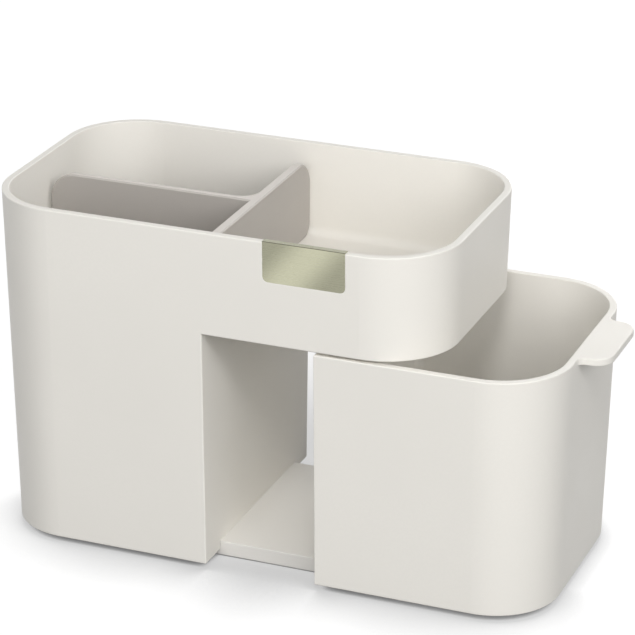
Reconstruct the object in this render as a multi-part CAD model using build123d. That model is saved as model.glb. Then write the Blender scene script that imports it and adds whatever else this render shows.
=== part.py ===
from build123d import *
import math
import os

# Compact desk organiser: a deep bin with a removable T divider on the left, a shallow tray on
# the right, and under the tray an open bay with a pull-out drawer that rides on a base tongue.
# Millimetres and degrees. X runs across the width, Y from the front (-Y) to the back, Z up.
# The origin is the middle of the base plate's underside, straight below the recess wall.

# Outer form shared by the shell and the drawer, measured at the rim
body_width = 200.0
body_depth = 120.0
corner_radius = 32.0
draft_angle = 1.3
wall = 3.1

# Heights of the shell
skirt_lift = 2.4
shell_height = 149.2
bay_height = 104.9
tray_floor = 3.0
bin_floor = 3.0

# Edges and inner corners of the mouldings
rim_round = 0.5
mouth_break = 0.2
edge_break = 0.3
tray_fillet = 4.0
floor_break = 3.0
inner_corner = 4.0
recess_draft = 0.5

# Base plate, a tongue that carries the shell and guides the drawer
plate_thick = 6.3
plate_setback = 18.4
plate_end_setback = 20.0
plate_corner = 6.0
plate_skin = 2.4
plate_rim = 2.4
plate_rib = 1.8
plate_ribs_across = 5
peg_radius = 2.5
peg_clearance = 0.1
peg_end_gap = 1.2
peg_inset = 13.0
boss_wall = 2.7

# Non-slip feet in sockets of the base plate
foot_radius = 6.0
foot_proud = 0.6
foot_socket = 0.9
foot_inset = 11.0
foot_clearance = 0.1

# Drawer
drawer_wall = 3.1
drawer_floor = 2.8
drawer_top_gap = 1.2
drawer_back_gap = 0.4
drawer_ride_gap = 0.3
guide_gap = 0.4
guide_rib = 2.0
guide_stop_gap = 3.0
stud_radius = 3.5
stud_lift = 0.2
stud_wall_gap = 3.0
stud_spacing = 66.0
stud_break = 0.8
drawer_opening = 48.2

# Pull tab, level with the drawer's rim
tab_width = 42.0
tab_reach = 12.4
tab_thick = 3.0
tab_corner = 8.0
tab_root = 3.0
tab_break = 0.25

# T-shaped divider insert
divider_drop = 6.7
cross_thick = 4.4
cross_shift = 0.8
long_thick = 3.4
divider_end_gap = 0.7
divider_side_gap = 2.2
divider_seat_gap = 0.2
divider_step_gap = 0.6
divider_top_corner = 11.5
divider_foot_corner = 6.0
divider_root = 8.0
divider_break = 0.5

# Folded metal clip over the front rim
clip_width = 35.1
clip_drop = 16.9
clip_centre = 44.6
clip_sheet = 0.6
clip_proud = 0.4
clip_return = 6.0
clip_corner = 2.3
clip_bend = 0.35

# Levels and limits that follow from the sizes above
slope = math.tan(math.radians(draft_angle))
skirt_z = skirt_lift
rim_z = skirt_z + shell_height
tray_under_z = skirt_z + bay_height
tray_z = tray_under_z + tray_floor
plate_top_z = plate_thick
bin_z = plate_top_z + bin_floor
drawer_rim_z = tray_under_z - drawer_top_gap
drawer_under_z = plate_top_z + drawer_ride_gap
drawer_z = drawer_under_z + drawer_floor
divider_z = rim_z - divider_drop
plate_half_x = body_width / 2 - plate_end_setback
plate_half_y = body_depth / 2 - plate_setback
rib_pitch = 2 * plate_half_x / (plate_ribs_across + 1)
drawer_left = drawer_back_gap
over = 10.0
reach = body_width + body_depth


def half_width(z, inset=0.0):
    """Half the drafted plan's width at height z, drawn in by the inset."""
    return body_width / 2 - inset - (rim_z - z) * slope


def half_depth(z, inset=0.0):
    """Half the drafted plan's depth at height z, drawn in by the inset."""
    return body_depth / 2 - inset - (rim_z - z) * slope


def plan_block(inset, z_low, z_high):
    """The rounded, drafted plan of the organiser between two heights."""
    radius = corner_radius - inset - (rim_z - z_high) * slope
    outline = RectangleRounded(2 * half_width(z_high, inset), 2 * half_depth(z_high, inset), radius)
    form = Pos(0, 0, z_low) * extrude(outline, amount=z_high - z_low)
    sides = form.faces().filter_by(lambda f: f.bounding_box().size.Z > (z_high - z_low) / 2)
    return draft(sides, Plane.XY.offset(z_high), -draft_angle)


def block(x0, x1, y0, y1, z0, z1):
    """A plain block between two corners."""
    centre = Pos((x0 + x1) / 2, (y0 + y1) / 2, (z0 + z1) / 2)
    return centre * Box(x1 - x0, y1 - y0, z1 - z0)


def edges_at(solid, z):
    """The edges of a solid that lie in one level plane."""
    tol = 0.01
    return solid.edges().filter_by(lambda e: abs(e.bounding_box().min.Z - z) < tol
                                   and abs(e.bounding_box().max.Z - z) < tol)


def break_edges(solid, size, picked):
    """Take the sharpness off the edges that the test picks."""
    return chamfer([e for e in solid.edges() if picked(e.bounding_box())], size)


def mouth_edges(solid, z, left):
    """The inner edges of an open rim: they lie inside the middle of the wall and right of a limit."""
    x, y = half_width(z) - wall / 2, half_depth(z) - wall / 2
    boxes = [(e, e.bounding_box()) for e in edges_at(solid, z)]
    return [e for e, b in boxes if b.min.X > left and b.max.X < x and -y < b.min.Y and b.max.Y < y]


def recess_body(gap, head_z):
    """All that lies right of the bin's recess wall and under the tray floor, grown by a gap."""
    low_z = -reach
    lean = math.tan(math.radians(recess_draft))
    outline = Polygon((-wall - gap, head_z), (reach, head_z), (reach, low_z),
                      (-wall - gap - (head_z - low_z) * lean, low_z), align=None)
    return extrude(Plane.XZ * outline, amount=reach, both=True)


def inner_space():
    """Bin and tray as one space: the bin's step up to the tray floor is the recess wall's head."""
    space = plan_block(wall, bin_z, rim_z + over) - recess_body(0, tray_z)
    upright = [e for e in space.edges() if e.bounding_box().size.Z > bin_floor
               and abs(e.center().X + wall) < wall and e.center().Z < tray_z]
    space = fillet(upright, inner_corner)
    space = chamfer(edges_at(space, bin_z), floor_break)
    tray_edges = [e for e in edges_at(space, tray_z) if e.center().X > inner_corner]
    return fillet(tray_edges, tray_fillet)


def shell_underside():
    """Hollow under the bin floor and the passage of the tongue below the recess wall."""
    hollow = plan_block(wall, skirt_z - over, plate_top_z)
    hollow -= block(-wall, reach, -reach, reach, -reach, reach)
    side = plate_half_y + guide_gap
    return hollow + block(-wall - over, over, -side, side, skirt_z - over, plate_top_z)


def peg_places():
    """Centres of the pegs that hold the base plate, in line with the two ribs under the bin."""
    y = plate_half_y - peg_inset
    return [(-i * rib_pitch, s * y) for i in (1, 2) for s in (-1, 1)]


def clip_window():
    """Front view of the clip, swept from front to back, with its two lower corners rounded."""
    low, high = rim_z - clip_drop, rim_z + clip_proud + over
    face = Pos(clip_centre, (low + high) / 2) * Rectangle(clip_width, high - low)
    lower = face.vertices().sort_by(Axis.Y)[:2]
    face = fillet(lower, clip_corner)
    prism = extrude(Plane.XZ * face, amount=body_depth, both=True)
    return prism & block(-reach, reach, -reach, 0, -reach, reach)


def clip_body():
    """Sheet metal clip: front leaf, fold over the rim and return leaf on the inside."""
    top = rim_z + clip_proud
    low = rim_z - clip_drop - over
    front = plan_block(0, rim_z - clip_drop, top) - plan_block(clip_sheet, low, top + over)
    inside = plan_block(wall - clip_sheet, rim_z - clip_return, top) - plan_block(wall, low, top + over)
    fold = plan_block(0, top - clip_sheet, top) - plan_block(wall, low, top + over)
    clip = (front + inside + fold) & clip_window()
    return fillet(edges_at(clip, top).filter_by(Axis.X), clip_bend)


def clip_seat():
    """What the clip takes out of the shell, so that both its leaves lie flush with the wall."""
    top = rim_z + clip_proud
    low = rim_z - clip_drop - over
    front = plan_block(-over, rim_z - clip_drop, top) - plan_block(clip_sheet, low, top + over)
    inside = plan_block(wall - clip_sheet, rim_z - clip_return, top) - plan_block(wall + over, low, top + over)
    head = plan_block(-over, top - clip_sheet, top) - plan_block(wall + over, low, top + over)
    return (front + inside + head) & clip_window()


def make_shell():
    """Drafted outer shell with bin, tray, open bay, clip seat and pegs."""
    shell = plan_block(0, skirt_z, rim_z)
    shell -= block(0, reach, -reach, reach, -reach, tray_under_z)
    # the skirt's edge, the bay's upright edges and the tray's lower edge, but not the bay's inner corner
    shell = break_edges(shell, edge_break, lambda b: b.max.Z < tray_under_z + edge_break and (
        b.min.Z < tray_under_z - edge_break or b.max.X > edge_break))
    shell = fillet(edges_at(shell, rim_z), rim_round)
    shell -= inner_space()
    shell = chamfer(mouth_edges(shell, rim_z, wall / 2 - half_width(rim_z)), mouth_break)
    shell -= shell_underside()
    for x, y in peg_places():
        height = plate_top_z - peg_end_gap
        shell += Pos(x, y, plate_top_z - height / 2) * Cylinder(peg_radius, height)
    return shell - clip_seat()


def foot_places():
    """Centres of the four feet, named by their corner."""
    x, y = plate_half_x - foot_inset, plate_half_y - foot_inset
    return {"front_left": (-x, -y), "front_right": (x, -y), "rear_left": (-x, y), "rear_right": (x, y)}


def make_plate():
    """Base plate: a closed top skin over a rim, ribs, peg bosses and foot sockets."""
    outline = RectangleRounded(2 * plate_half_x, 2 * plate_half_y, plate_corner)
    plate = extrude(outline, amount=plate_thick)
    plate = chamfer(edges_at(plate, plate_top_z), edge_break)
    hollow_z = plate_thick - plate_skin
    pocket = extrude(RectangleRounded(2 * (plate_half_x - plate_rim), 2 * (plate_half_y - plate_rim),
                                      plate_corner - plate_rim), amount=hollow_z)
    pocket -= block(-reach, reach, -plate_rib / 2, plate_rib / 2, 0, hollow_z)
    for i in range(plate_ribs_across):
        x = -plate_half_x + (i + 1) * rib_pitch
        pocket -= block(x - plate_rib / 2, x + plate_rib / 2, -reach, reach, 0, hollow_z)
    bosses = [(x, y, peg_radius + boss_wall) for x, y in peg_places()]
    bosses += [(x, y, foot_radius + boss_wall) for x, y in foot_places().values()]
    for x, y, half in bosses:
        pocket -= block(x - half, x + half, y - half, y + half, 0, hollow_z)
    plate -= pocket
    for x, y in peg_places():
        plate -= Pos(x, y, plate_thick / 2) * Cylinder(peg_radius + peg_clearance, plate_thick)
    for x, y in foot_places().values():
        plate -= Pos(x, y, foot_socket / 2) * Cylinder(foot_radius + foot_clearance, foot_socket)
    return plate


def make_foot(x, y):
    """A round non-slip pad that stands proud of its socket."""
    height = foot_socket + foot_proud
    return Pos(x, y, foot_socket - height / 2) * Cylinder(foot_radius, height)


def tab_outline():
    """Plan of the pull tab, from inside the drawer wall to its rounded free end."""
    root_x = half_width(drawer_rim_z)
    tip = root_x + tab_reach
    tongue = Pos((root_x + tip) / 2, 0) * Rectangle(tip - root_x, tab_width)
    tongue = fillet(tongue.vertices().sort_by(Axis.X)[-2:], tab_corner)
    flank = Pos(root_x - tab_root / 2, 0) * Rectangle(tab_root, tab_width + 4 * tab_root)
    plan = tongue + flank
    inner = [v for v in plan.vertices() if abs(v.X - root_x) < tab_root / 4
             and abs(abs(v.Y) - tab_width / 2) < tab_root / 4]
    return fillet(inner, tab_root)


def make_tab():
    """Pull tab, level with the drawer's rim, with its free edges eased."""
    tab = Pos(0, 0, drawer_rim_z - tab_thick) * extrude(tab_outline(), amount=tab_thick)
    root_x = half_width(drawer_rim_z)
    free = [e for e in edges_at(tab, drawer_rim_z) + edges_at(tab, drawer_rim_z - tab_thick)
            if e.bounding_box().max.X > root_x + tab_root / 10]
    return chamfer(free, tab_break)


def drawer_space():
    """Inside of the drawer, open at the top."""
    space = plan_block(drawer_wall, drawer_z, drawer_rim_z + over)
    space -= block(-reach, drawer_left + drawer_wall, -reach, reach, -reach, reach)
    upright = [e for e in space.edges().filter_by(lambda e: e.bounding_box().size.Z > drawer_floor)
               if abs(e.center().X - drawer_left - drawer_wall) < drawer_wall]
    space = fillet(upright, inner_corner)
    return chamfer(edges_at(space, drawer_z), floor_break)


def drawer_underside():
    """Hollow under the drawer floor and the notch where its inner wall passes over the tongue."""
    hollow = plan_block(drawer_wall, skirt_z - over, drawer_under_z)
    hollow -= block(-reach, drawer_left + drawer_wall, -reach, reach, -reach, reach)
    side = plate_half_y + guide_gap
    notch_end = drawer_left + drawer_wall + over
    return hollow + block(-over, notch_end, -side, side, skirt_z - over, drawer_under_z)


def make_drawer():
    """Drawer with skirt, guide ribs beside the tongue, glide studs and pull tab, in its closed place."""
    drawer = plan_block(0, skirt_z, drawer_rim_z)
    drawer -= block(-reach, drawer_left, -reach, reach, -reach, reach)
    drawer = break_edges(drawer, edge_break, lambda b: b.max.Z < skirt_z + edge_break)
    drawer = fillet(edges_at(drawer, drawer_rim_z), rim_round)
    drawer -= drawer_space()
    drawer = chamfer(mouth_edges(drawer, drawer_rim_z, drawer_left + drawer_wall / 2), mouth_break)
    drawer += make_tab() - plan_block(drawer_wall / 2, drawer_rim_z - over, drawer_rim_z + over)
    drawer -= drawer_underside()
    rib_end = plate_half_x - guide_stop_gap
    inner = plate_half_y + guide_gap
    for side in (-1, 1):
        y0, y1 = sorted((side * inner, side * (inner + guide_rib)))
        drawer += block(drawer_left, rib_end, y0, y1, skirt_z, drawer_under_z + drawer_floor / 2)
    stud_x = half_width(skirt_z, drawer_wall) - stud_wall_gap - stud_radius
    foot_z = stud_lift - foot_proud
    height = drawer_under_z + drawer_floor / 2 - foot_z
    for side in (-1, 1):
        stud = Pos(stud_x, side * stud_spacing / 2, foot_z + height / 2) * Cylinder(stud_radius, height)
        drawer += chamfer(edges_at(stud, foot_z), stud_break)
    return drawer


def side_profile(half_length, z_low, z_high):
    """Side view of one wall of the T with its two upper corners rounded."""
    face = Pos(0, (z_low + z_high) / 2) * Rectangle(2 * half_length, z_high - z_low)
    return fillet(face.vertices().sort_by(Axis.Y)[-2:], divider_top_corner)


def divider_wall(profile, plane, thick, inset):
    """One wall of the T made from its side view, drafted like the bin and with its crest's edges broken."""
    panel = extrude(plane * profile, amount=thick / 2, both=True)
    crest_z = divider_z - divider_top_corner - divider_break
    panel = break_edges(panel, divider_break, lambda b: b.min.Z > crest_z
                        and max(b.size.X, b.size.Y) > thick + divider_break)
    return panel & plan_block(inset, bin_z, rim_z)


def divider_corner():
    """The hollow fillet that joins the two walls of the T on one side, above the tray floor."""
    x, y = -cross_shift - cross_thick / 2 - divider_root, long_thick / 2 + divider_root
    root = block(x, -cross_shift, 0, y, tray_z + divider_seat_gap, divider_z)
    root -= Pos(x, y, divider_z) * Cylinder(divider_root, 2 * shell_height)
    curve = edges_at(root, divider_z).filter_by(GeomType.CIRCLE)
    return chamfer(curve, divider_break)


def make_divider():
    """T-shaped insert: the cross wall stands on the tray floor, the long wall reaches the bin floor."""
    end, side = wall + divider_end_gap, wall + divider_side_gap
    foot_z = bin_z + divider_seat_gap
    seat_z = tray_z + divider_seat_gap
    cross = divider_wall(side_profile(half_depth(divider_z, end), seat_z, divider_z),
                         Plane.YZ.offset(-cross_shift), cross_thick, end)
    long_wall = divider_wall(side_profile(half_width(divider_z, side), foot_z, divider_z),
                             Plane.XZ, long_thick, side)
    tee = cross + (long_wall - block(-cross_shift, reach, -reach, reach, -reach, reach)) + divider_corner()
    # under the tray floor the long wall stays clear of the recess wall
    tee -= recess_body(divider_step_gap, seat_z)
    tee = fillet(edges_at(tee, foot_z).filter_by(Axis.Y), divider_foot_corner)
    cross_feet = [e for e in edges_at(tee, seat_z).filter_by(Axis.X) if abs(e.center().Y) > body_depth / 4]
    return fillet(cross_feet, divider_foot_corner)


def write(name, solid):
    """One file for each piece."""
    export_step(solid, os.path.join("parts", name + ".step"))


os.makedirs("parts", exist_ok=True)
write("body_shell", make_shell())
write("base_plate", make_plate())
for corner, (foot_x, foot_y) in foot_places().items():
    write("foot_" + corner, make_foot(foot_x, foot_y))
write("badge_clip", clip_body())
write("divider_insert", make_divider())
write("drawer", Pos(drawer_opening, 0, 0) * make_drawer())
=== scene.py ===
import math

import bpy
from mathutils import Matrix, Vector


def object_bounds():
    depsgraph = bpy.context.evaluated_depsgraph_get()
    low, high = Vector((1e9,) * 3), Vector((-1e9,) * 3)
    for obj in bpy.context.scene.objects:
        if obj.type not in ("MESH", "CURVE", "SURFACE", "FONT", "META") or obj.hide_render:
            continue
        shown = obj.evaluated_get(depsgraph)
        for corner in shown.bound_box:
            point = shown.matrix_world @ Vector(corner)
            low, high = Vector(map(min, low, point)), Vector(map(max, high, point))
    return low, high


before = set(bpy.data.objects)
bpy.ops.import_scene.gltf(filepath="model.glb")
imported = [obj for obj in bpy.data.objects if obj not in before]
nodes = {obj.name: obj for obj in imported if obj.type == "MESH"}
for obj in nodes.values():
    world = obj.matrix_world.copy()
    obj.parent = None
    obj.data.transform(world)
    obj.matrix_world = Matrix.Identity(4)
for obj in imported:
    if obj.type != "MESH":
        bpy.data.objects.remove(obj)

# Desk organiser in satin off-white plastic on a plain pale floor. Metres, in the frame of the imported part.
cad_box = [list(corner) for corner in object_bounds()]

# Camera, found by matching the part's corners with the photograph. Its turns are in radians
CAMERA_PLACE = (0.45101, -1.07698, 0.57949)
CAMERA_YAW, CAMERA_PITCH, CAMERA_ROLL = 0.374717, 0.395437, 0.004671
CAMERA_LENS = 170.125
CAMERA_SENSOR = 36.0
CAMERA_SHIFT = (-0.00109, -0.00043)

# Soft lamps: azimuth from the front to the right, elevation, distance, width, power
LAMPS = {
    "key": (20, 45, 1.3, 0.26, 4.7),
    "front_low": (0, 10, 1.6, 0.9, 7.5),
    "right_front": (45, 28, 2.5, 1.2, 15.6),
    "right_far": (70, 25, 2.5, 1.2, 10.0),
    "rear": (175, 25, 1.6, 0.9, 6.0),
    "back_low": (183, 3, 1.6, 0.3, 6.5),
    "left_low": (250, 8, 1.6, 0.6, 4.5),
}
LAMP_AIM = Vector((0.03, 0.0, 0.07))
AMBIENT = 0.3

# Floor: its colours for bounced light, for the camera, and a darker one where the camera sees it under the
# object, a painted contact shade
FLOOR_SIZE = 9.0
FLOOR_BOUNCE = (0.12, 0.12, 0.12, 1.0)
FLOOR_SEEN = (0.2, 0.2, 0.2, 1.0)
FLOOR_CONTACT_SHADE = (0.15, 0.15, 0.15, 1.0)
FLOOR_ROUGHNESS, FLOOR_SHINE = 0.9, 0.1

# The camera also sees the floor glow, and the more open a place is, the stronger, which paints a soft shadow
# around
# the object: the first value is that at the foot of a wall, the second that in the open
GLOW = (0.53, 0.88)
GLOW_OPENNESS = (0.5, 0.8)
# How far the dip in the glow, the painted shadow, reaches: places along Y with their reach, in front of the
# object and beside it
REACH_FRONT, REACH_BESIDE = (-0.055, 0.07), (-0.015, 0.016)
# Before and behind the open bay the painted shadow is wider: two patches of it, fixed on the floor. Each
# patch fades with the distance from the bay's middle, and sets in along Y
BAY_MIDDLE = 0.024
BEFORE_FADE, BEFORE_START = (0.05, 0.0), (-0.03, -0.05)
BEHIND_FADE, BEHIND_START = (0.12, 0.05), (0.03, 0.07)
BEFORE_SHIFT, BEFORE_DARKER = 0.14, 0.1
BEHIND_SHIFT, BEHIND_REACH = 0.18, 0.3
# Painted contact shadow: where the floor is less open than this it lies under the object, and loses most of
# its glow
CONTACT_SHADE_REACH = 0.03
CONTACT_SHADE_OPENNESS, CONTACT_SHADE_GLOW = (0.1, 0.26), 0.28

# Colours of the materials, linear
OFF_WHITE = (0.861, 0.836, 0.781)
# A darker copy of the off-white, for the base plate.
OFF_WHITE_PLATE = (0.77, 0.75, 0.71)
WARM_GREY = (0.443, 0.416, 0.387)
CHAMPAGNE = (0.462, 0.456, 0.338)
PALE_RUBBER = (0.42, 0.41, 0.39)

# In the materials, scales are of noise over metres, bands are the part of a noise's values that is used,
# tones are factors of the colour, and heights are of bumps
NOISE_BAND = (0.3, 0.7)
# How much the rounded normal still looks the way of the face: off the edges, and on them
EDGE_FACING = (1.0, 0.9)

# Plastic
PLASTIC_EDGE, PLASTIC_IOR = 0.0005, 1.47
CLOUD_SCALE, CLOUD_BAND, CLOUD_TONES = 14, (0.35, 0.65), (0.988, 1.012)
SPECKLE_SCALE, SPECKLE_BAND, SPECKLE_SHARE, SPECKLE_TONE = 900, (0.4, 0.6), 0.35, 0.985
GLOSS_SCALE, GLOSS_SWAY = 45, 0.04
GRAIN_SCALE, GRAIN_HEIGHT, GRAIN_STRENGTH = 3200, 0.00002, 0.6
RIPPLE_SCALE, RIPPLE_HEIGHT, RIPPLE_STRENGTH = 60, 0.00004, 0.25

# Brushed metal: its painted edge highlight and its strokes, where its painted sheen lies, and which faces,
# folded over or level, get a painted dark reflection
METAL_EDGE, METAL_EDGE_HIGHLIGHT_SHARE, METAL_EDGE_HIGHLIGHT_TONE = 0.0002, 0.5, 1.5
STROKE_STRETCH, STROKE_SHARE, STROKE_TONE = (90, 9000, 9000), 0.3, 0.8
STROKE_ROUGHNESS, STROKE_HEIGHT, STROKE_STRENGTH = (0.24, 0.32), 0.00001, 0.5
PAINTED_SHEEN_MIDDLE, PAINTED_SHEEN_HALF = (-0.25, -0.66), (0.05, 0.5)
PAINTED_SHEEN_TONE, OFF_SHEEN_TONE = 1.2, 0.68
FOLD_REFLECTION_FACING, FOLD_REFLECTION_TONE = (0.1, 0.4), 0.2
LEVEL_REFLECTION_FACING, LEVEL_REFLECTION_TONE = (0.7, 0.95), 0.8

# Rubber
RUBBER_SCALE, RUBBER_TONES = 2500, (0.9, 1.08)
RUBBER_GLOSS_SCALE, RUBBER_ROUGHNESS = 300, (0.7, 0.85)
RUBBER_HEIGHT, RUBBER_STRENGTH = 0.00006, 0.6


def shade(colour, factor):
    """A colour made lighter or darker, with full alpha."""
    return tuple(min(1.0, c * factor) for c in colour) + (1.0,)


class Shader:
    """A material's node tree with short calls to add and link its nodes."""

    def __init__(self, name):
        self.material = bpy.data.materials.new(name)
        self.material.use_nodes = True
        self.tree = self.material.node_tree
        self.bsdf = self.tree.nodes["Principled BSDF"]

    def node(self, kind, **settings):
        made = self.tree.nodes.new("ShaderNode" + kind)
        for key, value in settings.items():
            setattr(made, key, value)
        return made

    def link(self, source, target):
        self.tree.links.new(source, target)

    def set_input(self, target, value):
        """Links a socket's value to an input, or writes a plain one there."""
        if isinstance(value, bpy.types.NodeSocket):
            self.link(value, target)
        else:
            target.default_value = value

    def put(self, node, **values):
        """Sets or links a node's inputs by their names, with _ for a space."""
        for key, value in values.items():
            self.set_input(node.inputs[key.replace("_", " ")], value)
        return node

    def place(self, stretch=(1, 1, 1)):
        """Object coordinates, stretched along the axes."""
        coords = self.node("TexCoord").outputs["Object"]
        return self.put(self.node("Mapping"), Vector=coords, Scale=stretch).outputs["Vector"]

    def noise(self, scale, detail=2.0, stretch=(1, 1, 1)):
        """Noise that is fixed to the piece."""
        texture = self.put(self.node("TexNoise"), Vector=self.place(stretch), Scale=scale, Detail=detail)
        return texture.outputs["Fac"]

    def ranged(self, value, low, high, to_low, to_high):
        """A value carried from one range to another, and held at the ends."""
        return self.put(self.node("MapRange"), Value=value, From_Min=low, From_Max=high,
                        To_Min=to_low, To_Max=to_high).outputs["Result"]

    def smooth(self, value, low, high):
        """0 up to low, 1 from high on, eased in between."""
        return self.put(self.node("MapRange", interpolation_type="SMOOTHSTEP"), Value=value,
                        From_Min=low, From_Max=high).outputs["Result"]

    def mix(self, factor, first, second):
        """The first colour at factor 0, the second at 1."""
        blend = self.node("Mix", data_type="RGBA")
        for place, value in ((0, factor), (6, first), (7, second)):
            self.set_input(blend.inputs[place], value)
        return blend.outputs[2]

    def math(self, operation, *values):
        """The result of a sum on other nodes' values."""
        made = self.node("Math", operation=operation)
        for socket, value in zip(made.inputs, values):
            self.link(value, socket)
        return made.outputs[0]

    def split(self, vector):
        """The X, Y and Z of a vector."""
        parts = self.node("SeparateXYZ")
        self.link(vector, parts.inputs[0])
        return parts.outputs

    def bump(self, height, distance, strength, normal=None):
        """A normal roughened by a height, on top of another normal where there is one."""
        made = self.put(self.node("Bump"), Height=height, Distance=distance, Strength=strength)
        if normal is not None:
            self.link(normal, made.inputs["Normal"])
        return made.outputs["Normal"]

    def openness(self, reach, samples=20):
        """How open a place is: 1 in the open, 0.5 at the foot of a wall, 0 under the object."""
        around = self.node("AmbientOcclusion", samples=samples)
        return self.put(around, Distance=reach).outputs["AO"]

    def facing_up(self, low=0.6, high=0.9):
        """1 on level tops, 0 on upright faces."""
        return self.ranged(self.split(self.node("NewGeometry").outputs["Normal"])[2], low, high, 0.0, 1.0)

    def soft_edges(self, radius, samples=4):
        """The normal with its edges rounded, and a mask that is 1 along those edges."""
        rounded = self.node("Bevel", samples=samples)
        rounded.inputs["Radius"].default_value = radius
        facing = self.node("VectorMath", operation="DOT_PRODUCT")
        self.link(rounded.outputs["Normal"], facing.inputs[0])
        self.link(self.node("NewGeometry").outputs["Normal"], facing.inputs[1])
        return rounded.outputs["Normal"], self.ranged(facing.outputs["Value"], *EDGE_FACING, 0.0, 1.0)


def satin_plastic(name, colour, roughness=0.5, painted_edge_highlight=1.06, painted_top_light=1.0):
    """Moulded plastic: fine matt grain, faint clouding of tone and gloss, a painted highlight along its
    edges and painted light on its level tops.
    """
    s = Shader(name)
    normal, edge_highlight_mask = s.soft_edges(PLASTIC_EDGE)
    clouds = s.ranged(s.noise(CLOUD_SCALE, detail=3), *CLOUD_BAND, 0.0, 1.0)
    body = s.mix(clouds, shade(colour, CLOUD_TONES[0]), shade(colour, CLOUD_TONES[1]))
    speckle = s.ranged(s.noise(SPECKLE_SCALE), *SPECKLE_BAND, 0.0, SPECKLE_SHARE)
    body = s.mix(speckle, body, shade(colour, SPECKLE_TONE))
    # Painted top light: faces that look up take the colour scaled by their own tone.
    body = s.mix(s.facing_up(), body, shade(colour, painted_top_light))
    gloss = s.ranged(s.noise(GLOSS_SCALE, detail=3), *NOISE_BAND,
                     roughness - GLOSS_SWAY, roughness + GLOSS_SWAY)
    grain = s.bump(s.noise(GRAIN_SCALE, detail=3), GRAIN_HEIGHT, GRAIN_STRENGTH, normal)
    ripple = s.bump(s.noise(RIPPLE_SCALE), RIPPLE_HEIGHT, RIPPLE_STRENGTH, grain)
    # Painted highlight along the edges: there the colour is scaled by its own tone, which darkens the edges
    # where it is below 1.
    s.put(s.bsdf, Base_Color=s.mix(edge_highlight_mask, body, shade(colour, painted_edge_highlight)), Roughness=gloss,
          IOR=PLASTIC_IOR, Normal=ripple)
    return s.material


def brushed_metal(name, colour):
    """Satin sheet metal brushed along X, with a painted slanting sheen, a painted highlight along its edges,
    and painted dark reflections where it folds over the rim and on its level top.
    """
    s = Shader(name)
    normal, edge_highlight_mask = s.soft_edges(METAL_EDGE)
    strokes = s.noise(1.0, detail=4, stretch=STROKE_STRETCH)
    across, _, height = s.split(s.node("TexCoord").outputs["Generated"])
    # Painted sheen: a slanting lighter band of painted reflection, with the metal painted darker away from
    # it.
    from_painted_sheen = s.math("ABSOLUTE", s.math("ADD", across, s.ranged(height, 0.0, 1.0, *PAINTED_SHEEN_MIDDLE)))
    body = s.mix(s.smooth(from_painted_sheen, *PAINTED_SHEEN_HALF), shade(colour, PAINTED_SHEEN_TONE), shade(colour, OFF_SHEEN_TONE))
    body = s.mix(s.ranged(strokes, *NOISE_BAND, 0.0, STROKE_SHARE), body, shade(colour, STROKE_TONE))
    # Painted highlight along the metal's edges.
    body = s.mix(s.ranged(edge_highlight_mask, 0.0, 1.0, 0.0, METAL_EDGE_HIGHLIGHT_SHARE), body, shade(colour, METAL_EDGE_HIGHLIGHT_TONE))
    # Painted dark reflections: on the fold over the rim, and on the level top.
    body = s.mix(s.facing_up(*FOLD_REFLECTION_FACING), body, shade(colour, FOLD_REFLECTION_TONE))
    body = s.mix(s.facing_up(*LEVEL_REFLECTION_FACING), body, shade(colour, LEVEL_REFLECTION_TONE))
    s.put(s.bsdf, Base_Color=body, Metallic=1.0, Roughness=s.ranged(strokes, *NOISE_BAND, *STROKE_ROUGHNESS),
          Normal=s.bump(strokes, STROKE_HEIGHT, STROKE_STRENGTH, normal))
    return s.material


def rubber(name, colour):
    """Matt non-slip rubber with a fine open grain."""
    s = Shader(name)
    grain = s.noise(RUBBER_SCALE, detail=3)
    tones = [shade(colour, tone) for tone in RUBBER_TONES]
    s.put(s.bsdf, Base_Color=s.mix(s.ranged(grain, *NOISE_BAND, 0.0, 1.0), *tones),
          Roughness=s.ranged(s.noise(RUBBER_GLOSS_SCALE), *NOISE_BAND, *RUBBER_ROUGHNESS),
          Normal=s.bump(grain, RUBBER_HEIGHT, RUBBER_STRENGTH))
    return s.material


def dress(names, material):
    """Gives CAD nodes their material."""
    for name in names:
        mesh = nodes[name].data
        mesh.materials.clear()
        mesh.materials.append(material)


def make_camera():
    data = bpy.data.cameras.new("camera")
    data.lens = CAMERA_LENS
    data.sensor_width = CAMERA_SENSOR
    data.shift_x, data.shift_y = CAMERA_SHIFT
    camera = bpy.data.objects.new("camera", data)
    bpy.context.scene.collection.objects.link(camera)
    turn = (Matrix.Rotation(CAMERA_YAW, 4, "Z")
            @ Matrix.Rotation(math.pi / 2 - CAMERA_PITCH, 4, "X")
            @ Matrix.Rotation(CAMERA_ROLL, 4, "Z"))
    camera.matrix_world = Matrix.Translation(CAMERA_PLACE) @ turn
    bpy.context.scene.camera = camera


def make_lamp(name, azimuth, elevation, distance, width, power):
    """A square soft box that looks at the middle of the object."""
    a, e = math.radians(azimuth), math.radians(elevation)
    away = Vector((math.sin(a) * math.cos(e), -math.cos(a) * math.cos(e), math.sin(e)))
    data = bpy.data.lights.new(name, "AREA")
    data.shape = "SQUARE"
    data.size = width
    data.energy = power
    lamp = bpy.data.objects.new(name, data)
    bpy.context.scene.collection.objects.link(lamp)
    lamp.location = LAMP_AIM + away * distance
    lamp.rotation_euler = away.to_track_quat("Z", "Y").to_euler()


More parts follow.
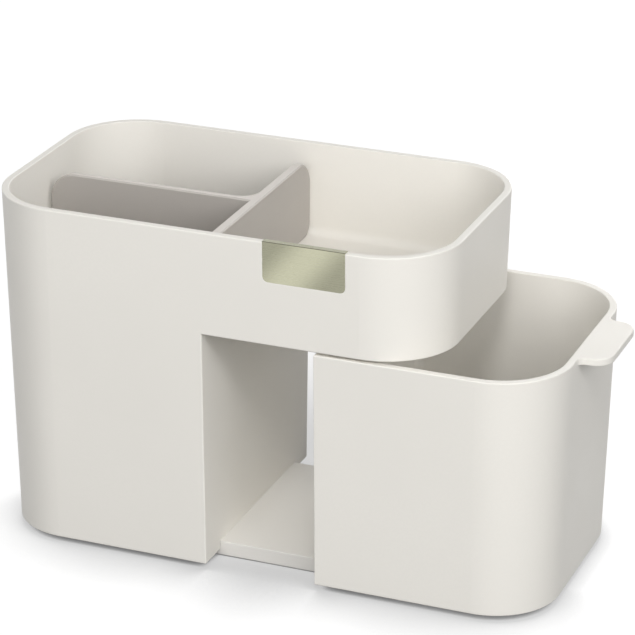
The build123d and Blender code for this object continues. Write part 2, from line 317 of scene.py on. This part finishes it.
def make_world():
    """White where the camera and reflections see it, a soft grey ambient light elsewhere."""
    world = bpy.data.worlds.new("studio")
    bpy.context.scene.world = world
    world.use_nodes = True
    tree = world.node_tree
    path = tree.nodes.new("ShaderNodeLightPath")
    seen = tree.nodes.new("ShaderNodeMath")
    seen.operation = "MAXIMUM"
    tree.links.new(path.outputs["Is Camera Ray"], seen.inputs[0])
    tree.links.new(path.outputs["Is Glossy Ray"], seen.inputs[1])
    level = tree.nodes.new("ShaderNodeMapRange")
    level.inputs["To Min"].default_value = AMBIENT
    level.inputs["To Max"].default_value = 1.0
    tree.links.new(seen.outputs["Value"], level.inputs["Value"])
    background = tree.nodes["Background"]
    background.inputs["Color"].default_value = (1, 1, 1, 1)
    tree.links.new(level.outputs["Result"], background.inputs["Strength"])


def make_floor():
    half = FLOOR_SIZE / 2
    mesh = bpy.data.meshes.new("floor")
    height = cad_box[0][2]
    corners = [(-half, -half, height), (half, -half, height), (half, half, height), (-half, half, height)]
    mesh.from_pydata(corners, [], [(0, 1, 2, 3)])
    floor = bpy.data.objects.new("floor", mesh)
    bpy.context.scene.collection.objects.link(floor)
    mesh.materials.append(floor_paper())


def floor_glow(s):
    """The floor's glow, with a soft painted shadow where it dips around the object, and the mask of a
    painted contact shadow, low under the object.
    """
    across, along, _ = s.split(s.place())
    off_bay = s.math("ABSOLUTE", s.ranged(across, BAY_MIDDLE - 1, BAY_MIDDLE + 1, -1, 1))
    before = s.math("MULTIPLY", s.smooth(off_bay, *BEFORE_FADE), s.ranged(along, *BEFORE_START, 0.0, 1.0))
    behind = s.math("MULTIPLY", s.smooth(off_bay, *BEHIND_FADE), s.ranged(along, *BEHIND_START, 0.0, 1.0))
    around = s.ranged(along, REACH_FRONT[0], REACH_BESIDE[0], REACH_FRONT[1], REACH_BESIDE[1])
    reach = s.math("ADD", around, s.ranged(behind, 0.0, 1.0, 0.0, BEHIND_REACH))
    shift = s.math("ADD", s.ranged(before, 0.0, 1.0, 0.0, BEFORE_SHIFT),
                   s.ranged(behind, 0.0, 1.0, 0.0, BEHIND_SHIFT))
    low, high = (s.ranged(shift, 0.0, 1.0, level, level + 1.0) for level in GLOW_OPENNESS)
    darkest = s.ranged(before, 0.0, 1.0, GLOW[0], GLOW[0] - BEFORE_DARKER)
    halo = s.ranged(s.openness(reach), low, high, darkest, GLOW[1])
    contact_shade = s.ranged(s.openness(CONTACT_SHADE_REACH), *CONTACT_SHADE_OPENNESS, CONTACT_SHADE_GLOW, 1.0)
    return s.math("MULTIPLY", halo, contact_shade), contact_shade


def floor_paper():
    """Pale paper that bounces little light and looks white, but for the shade around the object: painted in
    its glow and colour, with the lamps' real shadows on its dim diffuse part.
    """
    s = Shader("floor_paper")
    s.put(s.bsdf, Base_Color=FLOOR_BOUNCE, Roughness=FLOOR_ROUGHNESS, Specular_IOR_Level=FLOOR_SHINE)
    strength, contact_shade = floor_glow(s)
    glow = s.put(s.node("Emission"), Strength=strength)
    paper = s.put(s.node("BsdfDiffuse"), Color=s.mix(contact_shade, FLOOR_CONTACT_SHADE, FLOOR_SEEN))
    both = s.node("AddShader")
    s.link(glow.outputs[0], both.inputs[0])
    s.link(paper.outputs[0], both.inputs[1])
    path = s.node("LightPath").outputs
    mixed = s.node("MixShader")
    s.link(s.math("MAXIMUM", path["Is Camera Ray"], path["Is Glossy Ray"]), mixed.inputs[0])
    s.link(s.bsdf.outputs[0], mixed.inputs[1])
    s.link(both.outputs[0], mixed.inputs[2])
    s.link(mixed.outputs[0], s.tree.nodes["Material Output"].inputs["Surface"])
    return s.material


dress(["body_shell", "drawer"], satin_plastic("off_white_plastic", OFF_WHITE))
# On the base plate the edges are painted darker, which tones down the highlight on them.
dress(["base_plate"], satin_plastic("off_white_plate_plastic", OFF_WHITE_PLATE, painted_edge_highlight=0.88))
# The divider's level tops are painted lighter, a painted top light.
dress(["divider_insert"], satin_plastic("warm_grey_plastic", WARM_GREY, roughness=0.52, painted_top_light=1.65))
dress(["badge_clip"], brushed_metal("champagne_metal", CHAMPAGNE))
dress([name for name in nodes if name.startswith("foot_")], rubber("foot_rubber_material", PALE_RUBBER))

make_camera()
for lamp_name, values in LAMPS.items():
    make_lamp(lamp_name, *values)
make_world()
make_floor()
bpy.context.scene.view_settings.view_transform = "Standard"
